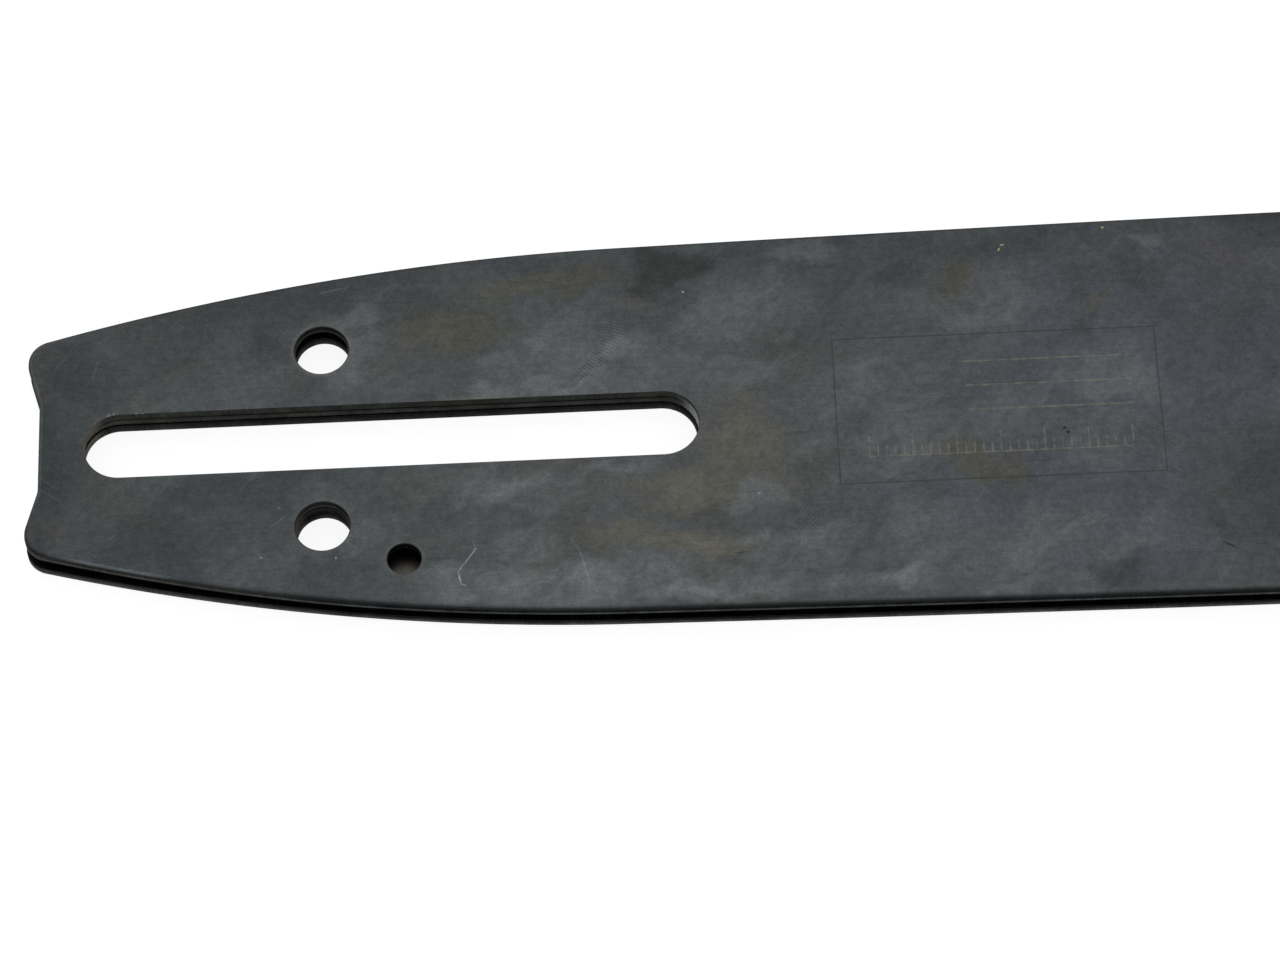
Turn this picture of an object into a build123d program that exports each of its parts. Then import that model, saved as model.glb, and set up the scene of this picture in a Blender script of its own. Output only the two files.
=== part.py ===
"""Laminated chainsaw guide bar with a sprocket nose.

The bar lies flat. The origin is the middle of the stud slot on the rear face, +X runs along the bar
to the nose, +Y across it and +Z out of the front face. All sizes are in millimetres.
"""
import os
from math import acos, asin, atan2, cos, degrees, floor, hypot, pi, radians, sin

from build123d import *

# Laminations
side_plate_thickness = 1.3
core_thickness = 1.3
rail_edge_chamfer = 0.3

# Outline of the side plates, seen from the front
bar_length = 408.0
bar_width = 50.2
nose_taper = 2.0
tail_to_slot = 41.45
tail_to_widest = 210.0
tail_width = 27.12
tail_flank_length = 67.75
tail_corner_radius = 2.9
tail_notch_side = 5.0
tail_notch_depth = 1.4

# Openings of the side plates
stud_slot_length = 70.2
stud_slot_width = 8.2
adjuster_hole_diameter = 6.2
adjuster_hole_x = -7.67
adjuster_hole_spacing = 23.09
oil_hole_diameter = 3.8
oil_hole_x = 1.5
oil_hole_offset = 16.17

# Core plate
groove_depth = 8.4
core_tail_setback = 0.3
core_slot_clearance = 0.2
core_to_sprocket_gap = 0.8

# Nose sprocket and its roller bearing
sprocket_teeth = 9
sprocket_tip_proud = 1.0
sprocket_tooth_height = 8.3
sprocket_tooth_tip_width = 2.8
sprocket_gullet_width = 2.4
sprocket_tip_round = 0.8
sprocket_gullet_round = 1.6
sprocket_side_gap = 0.1
race_radius = 6.0
roller_diameter = 2.4
bearing_clearance = 0.05
roller_spacing_gap = 0.08

# Nose rivets
rivet_count = 4
rivet_circle_radius = 3.4
rivet_shank_radius = 1.15
rivet_head_radius = 1.75
rivet_head_depth = 0.5
rivet_fit = 0.03

# Heights of the layers
core_bottom = side_plate_thickness
front_plate_bottom = core_bottom + core_thickness
bar_thickness = front_plate_bottom + side_plate_thickness

# Places along and across the bar
half_width = bar_width / 2
nose_radius = half_width - nose_taper
tail_x = -tail_to_slot
notch_x = tail_x + tail_notch_depth
core_tail_x = notch_x + core_tail_setback
nose_x = tail_x + bar_length - nose_radius
widest_x = tail_x + tail_to_widest
flank_end_x = tail_x + tail_flank_length
tail_tip_y = tail_width / 2 - tail_corner_radius
notch_floor_y = tail_tip_y - tail_notch_side

# Each rail bows out to its widest point, and meets the nose arc as a tangent
nose_run = nose_x - widest_x
bow_radius = (nose_run**2 + half_width**2 - nose_radius**2) / (2 * nose_taper)
bow_centre = Vector(widest_x, half_width - bow_radius)
nose_tangent = degrees(atan2(bow_radius - half_width, nose_run))

# The tail flank leaves the bow as a tangent and curves in to the corner of the tail
flank_tangent = 90 + degrees(asin((widest_x - flank_end_x) / bow_radius))
flank_normal = Vector(cos(radians(flank_tangent)), sin(radians(flank_tangent)))
flank_end = bow_centre + flank_normal * bow_radius
flank_chord = Vector(tail_x, tail_width / 2) - flank_end
flank_radius = -flank_chord.dot(flank_chord) / (2 * flank_chord.dot(flank_normal))
flank_centre = flank_end - flank_normal * flank_radius

# Sprocket and bearing sizes that follow from the ones above
sprocket_tip_radius = nose_radius + sprocket_tip_proud
sprocket_root_radius = sprocket_tip_radius - sprocket_tooth_height
sprocket_bottom = core_bottom + sprocket_side_gap
sprocket_thickness = core_thickness - 2 * sprocket_side_gap
tooth_half_angle = pi / sprocket_teeth - asin(sprocket_gullet_width / 2 / sprocket_root_radius)
tooth_base_x = sprocket_root_radius * cos(tooth_half_angle)
tooth_base_y = sprocket_root_radius * sin(tooth_half_angle)
roller_radius = roller_diameter / 2
roller_path_radius = race_radius + bearing_clearance + roller_radius
sprocket_bore_radius = roller_path_radius + roller_radius + bearing_clearance
roller_step = 2 * asin((roller_radius + roller_spacing_gap / 2) / roller_path_radius)
roller_count = floor(2 * pi / roller_step)

standing = (Align.CENTER, Align.CENTER, Align.MIN)
adjuster_places = Locations(
    (adjuster_hole_x, adjuster_hole_spacing / 2),
    (adjuster_hole_x, -adjuster_hole_spacing / 2),
)


def draw_rail(inset, end_x):
    """Upper rail from the nose to the tail at end_x, moved in by inset. Gives its last arc."""
    CenterArc(bow_centre, bow_radius - inset, nose_tangent, flank_tangent - nose_tangent)
    radius = flank_radius - inset
    end_angle = degrees(acos((end_x - flank_centre.X) / radius))
    return CenterArc(flank_centre, radius, flank_tangent, end_angle - flank_tangent)


def draw_nose(inset):
    """Nose arc between the two rails, moved in by inset."""
    CenterArc((nose_x, 0), nose_radius - inset, -nose_tangent, 2 * nose_tangent)


def rivet_places(height):
    """Where the nose rivets stand, at a height above the rear face."""
    places = []
    for index in range(rivet_count):
        angle = 2 * pi * (index + 0.5) / rivet_count
        x = nose_x + rivet_circle_radius * cos(angle)
        y = rivet_circle_radius * sin(angle)
        places.append((x, y, height))
    return Locations(*places)


def beyond_mid_tooth(vertex):
    """True for a vertex of the sprocket's outline that lies nearer to the tips than to the gullets."""
    middle_radius = (sprocket_tip_radius + sprocket_root_radius) / 2
    return hypot(vertex.X - nose_x, vertex.Y) > middle_radius


os.makedirs("parts", exist_ok=True)

# Front side plate
with BuildPart() as front_side_plate:
    with BuildSketch(Plane.XY.offset(front_plate_bottom)) as plate_profile:
        with BuildLine():
            flank = draw_rail(0, tail_x)
            Polyline(flank @ 1, (tail_x, tail_tip_y), (notch_x, notch_floor_y))
            mirror(about=Plane.XZ)
            Line((notch_x, notch_floor_y), (notch_x, -notch_floor_y))
            draw_nose(0)
        make_face()
        tip_vertices, notch_vertices = plate_profile.vertices().group_by(Axis.X)[:2]
        fillet(tip_vertices + notch_vertices, tail_corner_radius)
        SlotOverall(stud_slot_length, stud_slot_width, mode=Mode.SUBTRACT)
        with adjuster_places:
            Circle(adjuster_hole_diameter / 2, mode=Mode.SUBTRACT)
        with Locations((oil_hole_x, -oil_hole_offset)):
            Circle(oil_hole_diameter / 2, mode=Mode.SUBTRACT)
        with rivet_places(0):
            Circle(rivet_shank_radius + rivet_fit, mode=Mode.SUBTRACT)
    extrude(amount=side_plate_thickness)
    front_face = front_side_plate.faces().sort_by(Axis.Z)[-1]
    chamfer(front_face.outer_wire().edges(), rail_edge_chamfer)
    with rivet_places(bar_thickness - rivet_head_depth):
        Cone(
            rivet_shank_radius + rivet_fit,
            rivet_head_radius + rivet_fit,
            rivet_head_depth,
            align=standing,
            mode=Mode.SUBTRACT,
        )

# Rear side plate, the same stamping turned over
with BuildPart() as rear_side_plate:
    turn_axis = Axis((0, 0, bar_thickness / 2), (1, 0, 0))
    add(front_side_plate.part.rotate(turn_axis, 180))

# Core plate, whose edges make the floor of the chain groove
with BuildPart() as core_plate:
    with BuildSketch(Plane.XY.offset(core_bottom)):
        with BuildLine():
            core_flank = draw_rail(groove_depth, core_tail_x)
            mirror(about=Plane.XZ)
            core_corner = core_flank @ 1
            Line((core_corner.X, core_corner.Y), (core_corner.X, -core_corner.Y))
            draw_nose(groove_depth)
        make_face()
        SlotOverall(
            stud_slot_length + 2 * core_slot_clearance,
            stud_slot_width + 2 * core_slot_clearance,
            mode=Mode.SUBTRACT,
        )
        with adjuster_places:
            Circle(adjuster_hole_diameter / 2, mode=Mode.SUBTRACT)
        with Locations((nose_x, 0)):
            Circle(sprocket_tip_radius + core_to_sprocket_gap, mode=Mode.SUBTRACT)
    extrude(amount=core_thickness)

# Nose sprocket, a star whose gullets take the drive links of the chain
with BuildPart() as nose_sprocket:
    with BuildSketch(Plane.XY.offset(sprocket_bottom)) as star:
        with Locations((nose_x, 0)):
            Circle(sprocket_root_radius)
            with PolarLocations(0, sprocket_teeth):
                Polygon(
                    (0, 0),
                    (tooth_base_x, -tooth_base_y),
                    (sprocket_tip_radius, -sprocket_tooth_tip_width / 2),
                    (sprocket_tip_radius, sprocket_tooth_tip_width / 2),
                    (tooth_base_x, tooth_base_y),
                    align=None,
                )
        fillet(star.vertices().filter_by(beyond_mid_tooth), sprocket_tip_round)
        fillet(star.vertices().filter_by(beyond_mid_tooth, reverse=True), sprocket_gullet_round)
        with Locations((nose_x, 0)):
            Circle(sprocket_bore_radius, mode=Mode.SUBTRACT)
    extrude(amount=sprocket_thickness)

# Inner race, clamped between the side plates
with BuildPart() as inner_race:
    with BuildSketch(Plane.XY.offset(core_bottom)):
        with Locations((nose_x, 0)):
            Circle(race_radius)
        with rivet_places(0):
            Circle(rivet_shank_radius + rivet_fit, mode=Mode.SUBTRACT)
    extrude(amount=core_thickness)

# Nose rivets, closed flush at both faces
with BuildPart() as nose_rivets:
    with rivet_places(0):
        Cylinder(rivet_shank_radius, bar_thickness, align=standing)
        Cone(rivet_head_radius, rivet_shank_radius, rivet_head_depth, align=standing)
    with rivet_places(bar_thickness - rivet_head_depth):
        Cone(rivet_shank_radius, rivet_head_radius, rivet_head_depth, align=standing)

front_side_plate.part.label = "front_side_plate"
export_step(front_side_plate.part, "parts/front_side_plate.step")
rear_side_plate.part.label = "rear_side_plate"
export_step(rear_side_plate.part, "parts/rear_side_plate.step")
core_plate.part.label = "core_plate"
export_step(core_plate.part, "parts/core_plate.step")
nose_sprocket.part.label = "nose_sprocket"
export_step(nose_sprocket.part, "parts/nose_sprocket.step")
inner_race.part.label = "inner_race"
export_step(inner_race.part, "parts/inner_race.step")
nose_rivets.part.label = "nose_rivets"
export_step(nose_rivets.part, "parts/nose_rivets.step")

# Rollers, in one full ring round the inner race
for index in range(roller_count):
    angle = 2 * pi * index / roller_count
    roller_x = nose_x + roller_path_radius * cos(angle)
    roller_y = roller_path_radius * sin(angle)
    with BuildPart() as roller:
        with Locations((roller_x, roller_y, sprocket_bottom)):
            Cylinder(roller_radius, sprocket_thickness, align=standing)
    roller.part.label = f"roller_{index + 1:02d}"
    export_step(roller.part, f"parts/{roller.part.label}.step")
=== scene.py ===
"""Looks of the laminated chainsaw guide bar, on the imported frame.

Outlines and marks are drawn in millimetres in the part's own frame: the origin is the middle of the stud
slot on the rear face, +X runs to the nose and +Z out of the front face. The meshes are in metres.
"""
from math import asin, atan2, ceil, cos, degrees, pi, radians, sin, sqrt, tan

import bmesh
import bpy
from mathutils import Matrix, Vector


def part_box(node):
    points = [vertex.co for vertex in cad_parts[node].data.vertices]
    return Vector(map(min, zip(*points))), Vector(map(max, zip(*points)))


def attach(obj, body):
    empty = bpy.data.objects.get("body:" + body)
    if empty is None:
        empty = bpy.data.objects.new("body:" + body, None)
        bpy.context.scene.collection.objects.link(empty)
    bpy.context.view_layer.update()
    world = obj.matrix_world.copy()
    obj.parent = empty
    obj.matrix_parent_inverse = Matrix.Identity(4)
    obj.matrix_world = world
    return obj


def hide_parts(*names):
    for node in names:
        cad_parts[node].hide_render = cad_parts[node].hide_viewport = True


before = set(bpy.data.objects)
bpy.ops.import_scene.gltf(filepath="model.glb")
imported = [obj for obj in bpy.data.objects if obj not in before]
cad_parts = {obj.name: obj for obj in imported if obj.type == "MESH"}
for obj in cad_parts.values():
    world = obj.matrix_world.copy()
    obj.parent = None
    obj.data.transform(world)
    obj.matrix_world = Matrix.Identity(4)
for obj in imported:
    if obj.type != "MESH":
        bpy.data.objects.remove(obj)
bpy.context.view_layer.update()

MM = 0.001

# Camera, as the photograph was taken
IMAGE_WIDTH = 1280
FOCAL_PIXELS = 5168.03
SENSOR_WIDTH = 36.0
CAMERA_TILT = radians(29.232)
CAMERA_YAW = radians(0.222)
CAMERA_ROLL = radians(-2.353)
CAMERA_AIM = Vector((28.337, -5.17, 0.0))
CAMERA_DISTANCE = 589.83

# Key lamp behind the bar, in metres and watts
KEY_PLACE = (0.06, 0.98, 0.84)
KEY_AIM = (0.06, 0, 0)
KEY_SIZE = 1.7
KEY_POWER = 4.6

# Layers of the bar, from the frame
plate_low, plate_high = (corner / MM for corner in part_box("front_side_plate"))
core_low, core_high = (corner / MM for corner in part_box("core_plate"))
plate_thickness = plate_high.z - plate_low.z
front_face = plate_high.z
rear_face = plate_low.z - (core_high.z - core_low.z) - plate_thickness

# Outline of the side plates
tail_x = plate_low.x
half_width = plate_high.y
nose_taper = 2.0
tail_to_widest = 210.0
tail_width = 27.12
tail_flank_length = 67.75
tail_corner_radius = 2.9
tail_notch_side = 5.0
tail_notch_depth = 1.4

# How far the front plate's tail lies to +Y of the other sheets, at its upper and its lower edge
upper_tail_shift = 0.15
lower_tail_shift = 0.36
tail_shift_start_x = -8.0

# How far the front plate's slot lies towards the nose
slot_shift = 0.25

# Openings of the side plates
slot_length = 70.2
slot_width = 8.2
adjuster_radius = 3.1
adjuster_x = -7.67
adjuster_y = 11.545
oil_radius = 1.9
oil_x = 1.5
oil_y = 16.17
rivet_count = 4
rivet_circle_radius = 3.4
rivet_hole_radius = 1.18
rivet_sink_radius = 1.78
rivet_sink_depth = 0.5

# Openings of the front plate, with middle, radius and half run between their round ends
plate_openings = [
    (adjuster_x, adjuster_y, adjuster_radius, 0),
    (adjuster_x, -adjuster_y, adjuster_radius, 0),
    (oil_x, -oil_y, oil_radius, 0),
    (slot_shift, 0, slot_width / 2, (slot_length - slot_width) / 2),
]

# Rounds of the stamped edges, as the reach along the face and the depth in the sheet
rail_roll = (0.57, 0.3)
slot_roll = (0.08, 0.06)
hole_roll = (0.17, 0.12)
burr_round = (0.08, 0.08)
rim_steps = 5
point_spacing = 1.0
arc_step = radians(3)

# Upright share of a normal above which a face belongs to the flat of a sheet
flat_lean = 0.6

# Places that follow from the sizes above: the rails bow out to their widest point, and the tail flanks
# leave the bow as tangents and curve in to the corners of the tail
nose_radius = half_width - nose_taper
nose_x = plate_high.x - nose_radius
widest_x = tail_x + tail_to_widest
notch_x = tail_x + tail_notch_depth
flank_end_x = tail_x + tail_flank_length
tail_tip_y = tail_width / 2 - tail_corner_radius
notch_floor_y = tail_tip_y - tail_notch_side

nose_run = nose_x - widest_x
bow_radius = (nose_run**2 + half_width**2 - nose_radius**2) / (2 * nose_taper)
bow_centre = Vector((widest_x, half_width - bow_radius))
nose_tangent = atan2(bow_radius - half_width, nose_run)

flank_tangent = pi / 2 + asin((widest_x - flank_end_x) / bow_radius)
flank_normal = Vector((cos(flank_tangent), sin(flank_tangent)))
flank_end = bow_centre + flank_normal * bow_radius
flank_chord = Vector((tail_x, tail_width / 2)) - flank_end
flank_radius = -flank_chord.dot(flank_chord) / (2 * flank_chord.dot(flank_normal))
flank_centre = flank_end - flank_normal * flank_radius


def arc(centre, radius, start, end):
    """Points along an arc from one angle to another, both ends among them."""
    count = max(ceil(abs(end - start) / arc_step), ceil(abs(end - start) * radius / point_spacing))
    angles = [start + (end - start) * index / count for index in range(count + 1)]
    return [Vector((centre[0] + radius * cos(a), centre[1] + radius * sin(a))) for a in angles]


def straight(start, end):
    """Points between two ends, without the ends."""
    run = end - start
    count = ceil(run.length / point_spacing)
    return [start + run * index / count for index in range(1, count)]


def rounded(before, corner, after, radius):
    """Arc that rounds the corner between two straight runs."""
    back = (before - corner).normalized()
    ahead = (after - corner).normalized()
    half_angle = back.angle(ahead) / 2
    centre = corner + (back + ahead).normalized() * radius / sin(half_angle)
    reach = radius / tan(half_angle)
    first = corner + back * reach - centre
    last = corner + ahead * reach - centre
    start = atan2(first.y, first.x)
    turn = (atan2(last.y, last.x) - start + pi) % (2 * pi) - pi
    return arc(centre, radius, start, start + turn)


def both_sides(upper):
    """Closed outline, anticlockwise, from its upper half between two points of the long axis."""
    return upper + [Vector((p.x, -p.y)) for p in reversed(upper[1:-1])]


def plate_outline():
    """Outline of a side plate: nose arc, bowed rails, tail flanks and the notched tail."""
    corner_x = tail_x + tail_corner_radius
    corner_reach = flank_radius - tail_corner_radius
    corner_y = flank_centre.y + sqrt(corner_reach**2 - (corner_x - flank_centre.x) ** 2)
    corner_angle = atan2(corner_y - flank_centre.y, corner_x - flank_centre.x)
    corner_end = Vector((tail_x, corner_y))
    tip = Vector((tail_x, tail_tip_y))
    notch = Vector((notch_x, notch_floor_y))
    middle = Vector((notch_x, 0))
    upper = arc((nose_x, 0), nose_radius, 0, nose_tangent)
    upper += arc(bow_centre, bow_radius, nose_tangent, flank_tangent)[1:]
    upper += arc(flank_centre, flank_radius, flank_tangent, corner_angle)[1:]
    upper += arc((corner_x, corner_y), tail_corner_radius, corner_angle, pi)[1:]
    upper += rounded(corner_end, tip, notch, tail_corner_radius)
    upper += rounded(tip, notch, middle, tail_corner_radius)
    upper += straight(upper[-1], middle) + [middle]
    return both_sides(upper)


def tail_shifted(point):
    """Point of the front plate's outline, with the tail moved to +Y."""
    run = max(0.0, (tail_shift_start_x - point.x) / (tail_shift_start_x - tail_x))
    share = 0.5 - point.y / tail_width
    shift = upper_tail_shift + (lower_tail_shift - upper_tail_shift) * share
    return point + Vector((0, run * shift))


def hole_outline(x, y, radius):
    """Outline of a round hole, clockwise."""
    return arc((x, y), radius, 0, -2 * pi)[:-1]


def slot_outline(length, width):
    """Outline of the stud slot, clockwise."""
    end = (length - width) / 2
    half = width / 2
    right = arc((end, 0), half, pi / 2, -pi / 2)
    left = arc((-end, 0), half, -pi / 2, -3 * pi / 2)
    return right + straight(right[-1], left[0]) + left + straight(left[-1], right[0])


def rim_profile(low, high, low_round, high_round):
    """Section of a rim from its lower to its upper edge, as pairs of inset and height."""
    turns = [pi / 2 * step / rim_steps for step in range(rim_steps + 1)]
    reach, depth = low_round
    lower = [(reach * (1 - sin(a)), low + depth * (1 - cos(a))) for a in turns]
    reach, depth = high_round
    upper = [(reach * (1 - cos(a)), high - depth * (1 - sin(a))) for a in turns]
    return lower + upper


def outward(points):
    """Direction that leaves the metal at each point of a closed outline."""
    normals = []
    for index, point in enumerate(points):
        run = points[(index + 1) % len(points)] - points[index - 1]
        normals.append(Vector((run.y, -run.x)).normalized())
    return normals


def add_rim(bm, points, profile):
    """Wall of rounded section round an outline. Gives its lowest and highest edges."""
    normals = outward(points)
    rings = []
    for inset, height in profile:
        ring = []
        for point, normal in zip(points, normals):
            x, y = point - normal * inset
            ring.append(bm.verts.new((x * MM, y * MM, height * MM)))
        rings.append(ring)
    for lower, upper in zip(rings, rings[1:]):
        for index in range(len(points)):
            face = bm.faces.new((lower[index - 1], lower[index], upper[index], upper[index - 1]))
            face.smooth = True
    edges = []
    for ring in (rings[0], rings[-1]):
        edges.append([bm.edges.get((ring[index - 1], ring[index])) for index in range(len(ring))])
    return edges


def add_cap(bm, edges, facing):
    """Flat face between closed runs of edges, turned up or down."""
    made = bmesh.ops.triangle_fill(bm, edges=edges, use_beauty=True)
    for item in made["geom"]:
        if isinstance(item, bmesh.types.BMFace):
            item.normal_update()
            if item.normal.z * facing < 0:
                item.normal_flip()


def sheet_piece(name, rims, outer_face, materials):
    """Sheet from pairs of outline and rim profile, whose outer face looks up (1) or down (-1).

    Its materials are for the outer face, the edges and the inner face.
    """
    bm = bmesh.new()
    lowest = []
    highest = []
    for points, profile in rims:
        low_edges, high_edges = add_rim(bm, points, profile)
        lowest += low_edges
        highest += high_edges
    add_cap(bm, lowest, -1)
    add_cap(bm, highest, 1)
    bm.normal_update()
    for face in bm.faces:
        turned_out = face.normal.z * outer_face
        if turned_out > flat_lean:
            face.material_index = 0
        elif turned_out < -flat_lean:
            face.material_index = 2
        else:
            face.material_index = 1
    mesh = bpy.data.meshes.new(name)
    bm.to_mesh(mesh)
    bm.free()
    for material in materials:
        mesh.materials.append(material)
    piece = bpy.data.objects.new(name, mesh)
    bpy.context.scene.collection.objects.link(piece)
    return piece


def rivet_places():
    """Centres of the nose rivets."""
    angles = [2 * pi * (index + 0.5) / rivet_count for index in range(rivet_count)]
    return [(nose_x + rivet_circle_radius * cos(a), rivet_circle_radius * sin(a)) for a in angles]


def plate_rims(oil_side, turned):
    """Outlines and rim profiles of a side plate, whose oil hole is at +Y (1) or -Y (-1).

    A turned plate has its outer face below.
    """
    low = rear_face if turned else plate_low.z
    high = low + plate_thickness

    def profile(outer_round):
        """Rim with a round at the outer face and the sheared side's round at the inner one."""
        if turned:
            return rim_profile(low, high, outer_round, burr_round)
        return rim_profile(low, high, burr_round, outer_round)

    def sunk():
        """Rim of a rivet hole, countersunk from the outer face."""
        flare = rivet_sink_radius - rivet_hole_radius
        if turned:
            return [(flare, low), (0.0, low + rivet_sink_depth), (0.0, high)]
        return [(0.0, low), (0.0, high - rivet_sink_depth), (flare, high)]

    outline = plate_outline()
    slot = slot_outline(slot_length, slot_width)
    if not turned:
        outline = [tail_shifted(point) for point in outline]
        slot = [point + Vector((slot_shift, 0)) for point in slot]
    rims = [(outline, profile(rail_roll)), (slot, profile(slot_roll))]
    for side in (1, -1):
        rims.append((hole_outline(adjuster_x, side * adjuster_y, adjuster_radius), profile(hole_roll)))
    rims.append((hole_outline(oil_x, oil_side * oil_y, oil_radius), profile(hole_roll)))
    for x, y in rivet_places():
        rims.append((hole_outline(x, y, rivet_hole_radius), sunk()))
    return rims


# Short calls for shader nodes

def add_node(tree, kind, inputs, **settings):
    """New shader node with its settings. Its inputs are linked from sockets or set to values."""
    node = tree.nodes.new("ShaderNode" + kind)
    for name, value in settings.items():
        setattr(node, name, value)
    for key, value in inputs.items():
        if isinstance(value, bpy.types.NodeSocket):
            tree.links.new(value, node.inputs[key])
        else:
            node.inputs[key].default_value = value
    return node


def add_math(tree, operation, first, second=0.0, third=0.0):
    """Result of a sum on sockets or values."""
    return add_node(tree, "Math", {0: first, 1: second, 2: third}, operation=operation).outputs[0]


def add_range(tree, value, low, high, low_result=0.0, high_result=1.0):
    """Smooth step of a value, from low_result at low to high_result at high."""
    inputs = {
        "Value": value,
        "From Min": low,
        "From Max": high,
        "To Min": low_result,
        "To Max": high_result,
    }
    return add_node(tree, "MapRange", inputs, interpolation_type="SMOOTHSTEP").outputs[0]


def add_noise(tree, vector, scale, detail, roughness=0.55):
    """Noise from 0 to 1, with scale in features for each millimetre."""
    inputs = {"Vector": vector, "Scale": scale, "Detail": detail, "Roughness": roughness}
    return add_node(tree, "TexNoise", inputs).outputs[0]


def add_mix(tree, factor, first, second):
    """Blend of two colours."""
    return add_node(tree, "Mix", {0: factor, 6: first, 7: second}, data_type="RGBA").outputs[2]


def add_turned(tree, vector, place, size, turn):
    """Coordinates about a place, in units of size along axes turned by an angle in degrees."""
    inputs = {
        "Vector": vector,
        "Location": place,
        "Rotation": (0, 0, radians(turn)),
        "Scale": size,
    }
    return add_node(tree, "Mapping", inputs, vector_type="TEXTURE").outputs[0]


def add_spot(tree, vector, place, size, turn=0.0, strength=1.0):
    """Soft spot, strongest at its middle, that fades out at its size along axes turned by degrees."""
    middle = Vector(place)
    if turn:
        angle = -radians(turn)
        inputs = {"Vector": vector, "Angle": angle}
        vector = add_node(tree, "VectorRotate", inputs, rotation_type="Z_AXIS").outputs[0]
        middle = Matrix.Rotation(angle, 3, "Z") @ middle
    scale = Vector(1 / length for length in size)
    inputs = {0: vector, 1: scale, 2: -middle * scale}
    local = add_node(tree, "VectorMath", inputs, operation="MULTIPLY_ADD").outputs[0]
    distance = add_node(tree, "VectorMath", {0: local}, operation="LENGTH").outputs["Value"]
    return add_range(tree, distance, 1.0, spot_core, 0.0, strength)


def new_material(name):
    """Material with its node tree and its Principled shader."""
    material = bpy.data.materials.new(name)
    material.use_nodes = True
    return material, material.node_tree, material.node_tree.nodes["Principled BSDF"]


def millimetres(tree):
    """Coordinates of the piece in millimetres."""
    source = add_node(tree, "TexCoord", {}).outputs["Object"]
    return add_node(tree, "VectorMath", {0: source, "Scale": 1 / MM}, operation="SCALE").outputs[0]


def stretched(tree, vector, size, turn=0.0):
    """Coordinates drawn out along axes turned by an angle in degrees."""
    return add_turned(tree, vector, (0, 0, 0), size, turn)


def add_bump(tree, shader, height, distance):
    """Relief of the surface from a height of 0 to 1, with distance in millimetres."""
    inputs = {"Height": height, "Distance": distance * MM, "Strength": bump_strength}
    bump = add_node(tree, "Bump", inputs)
    tree.links.new(bump.outputs[0], shader.inputs["Normal"])


# Share of a soft spot that has its full strength, and how far the marks below reach beyond their sizes
spot_core = 0.22
spot_reach = 1.15

# Share of a stroke's half width, and of a finger print's span, that has its full strength
stroke_core = 0.4
span_core = 0.6

# Distance far beyond the sheets and the rims, and depths at which the front face's own marks fade in
far_off = 100.0
front_skin = (0.5, 0.3)

# Features for each millimetre and reach of the warp that makes clouds and stains ragged
warp_scale = 0.2
warp_reach = (9, 9, 0)

# Range of a noise that counts for tones, and strength of all relief
tone_range = (0.28, 0.72)
bump_strength = 0.5

# Marks on the front face: place, half sizes and turn in millimetres and degrees, and strength
light_patches = [
    ((18.5, 10.5), (7, 5.5), -10, 0.6),
    ((19.5, 6), (13, 3.2), 3, 0.9),
    ((27, 9.8), (4.5, 3.4), 0, 0.8),
    ((13.5, 8.2), (3.6, 2.6), 0, 0.8),
    ((26, -5.6), (6, 1.8), 2, 0.7),
    ((14.5, -8), (10.5, 3.4), 5, 0.9),
    ((15.5, -15), (5, 3), 0, 0.7),
    ((9, -19.5), (6, 3.4), 0, 0.9),
    ((-18.5, -15.5), (5, 3.5), 0, 0.4),
    ((20, -20.7), (13, 4), 5, 1.0),
    ((30, -20), (8, 3), 5, 0.8),
    ((41, 14), (9, 5), 25, 0.6),
    ((41, 6), (7, 5), 0, 0.4),
    ((47, 22.5), (6, 2.4), 0, 0.5),
    ((46.5, -17), (8, 3.8), 15, 0.9),
    ((60, -14.5), (6, 4), 0, 0.5),
    ((72, -23), (9, 2), 0, 0.6),
    ((58, -22), (7, 2.4), 0, 0.9),
    ((41, -10.6), (4.5, 3.2), 30, 0.6),
    ((16.5, -10.5), (3.5, 2.5), 0, 0.7),
    ((50.6, -21), (5, 2.4), 0, 0.7),
    ((40, -22), (10, 2.2), 2, 0.9),
    ((56, -1), (14, 11), 0, 0.45),
    ((55, 5), (7, 4), 10, 0.5),
    ((69, 13.5), (8, 5), 10, 0.5),
    ((71, -1), (12, 5), 10, 0.4),
    ((82, 4), (9, 4.5), -5, 0.6),
    ((72, -17.5), (20, 5.5), 2, 0.7),
    ((88, 21), (2.2, 1.2), 20, 0.4),
    ((50.5, -4), (5, 4), 0, 0.5),
    ((81, -4.5), (5, 6), 0, 0.45),
    ((-4.5, 10.5), (3.5, 5), 0, 0.6),
    ((-4.5, 15.5), (4, 2), 10, 0.4),
    ((-4.5, -13.5), (4, 3), 0, 0.6),
]
pale_patches = [
    ((22.5, -20.4), (4, 2.2), 0, 0.9),
    ((32.8, -21.8), (4, 2), 0, 0.8),
    ((13, -19), (4, 2.2), 0, 0.7),
    ((58, -22), (4, 2), 0, 0.5),
    ((41.0, -14.9), (2.6, 1.6), 20, 0.5),
    ((25.7, 10.2), (2, 2), 0, 0.6),
    ((10, 4.9), (5, 1.2), 2, 0.3),
]
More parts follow.
